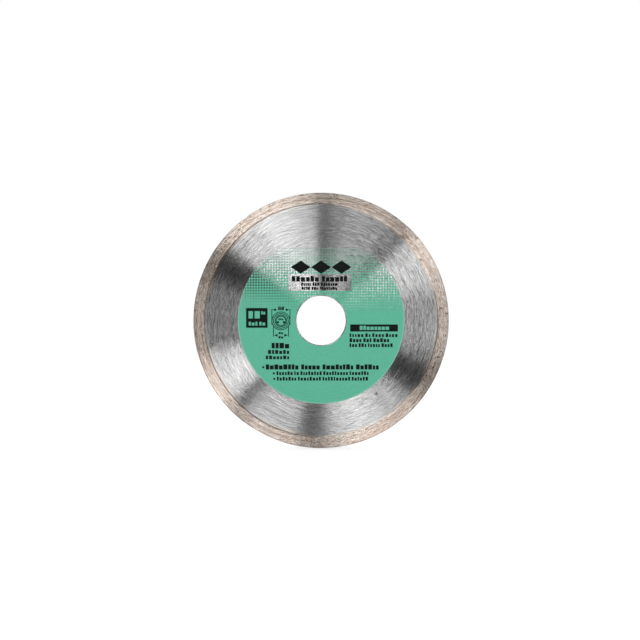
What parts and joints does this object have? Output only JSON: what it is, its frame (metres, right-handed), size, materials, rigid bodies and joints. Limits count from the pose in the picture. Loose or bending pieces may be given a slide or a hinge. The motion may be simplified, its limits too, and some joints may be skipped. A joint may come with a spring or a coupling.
{
  "type": "diamond blade",
  "caption": "Thin steel cutting disc with a continuous sintered diamond rim, a chamfered centre bore and a printed face, for an angle grinder.",
  "frame": {"origin": "centre of the arbor bore, on the core's mid-plane", "axes": "Y is the axle line, with the printed face towards -Y and the bare face towards +Y; +Z is the top of the print and +X its right-hand side"},
  "size_m": [0.1152, 0.0018, 0.1152],
  "materials": {
    "ground_steel": "satin, ground in arcs around the bore",
    "bond_bronze": "dull, sintered copper-rich bronze",
    "rim_matrix": "dull grey-tan sintered metal, dressed, with fine pits",
    "diamond": "small yellow-green crystals, opaque at this size",
    "green_ink": "satin printing ink",
    "black_ink": "satin printing ink"
  },
  "bodies": {
    "root": {"steel_core": "ground_steel", "bond_layer": "bond_bronze", "diamond_rim": "rim_matrix", "diamond_grit": "diamond", "green_print": "green_ink", "black_print": "black_ink"}
  },
  "joints": []
}
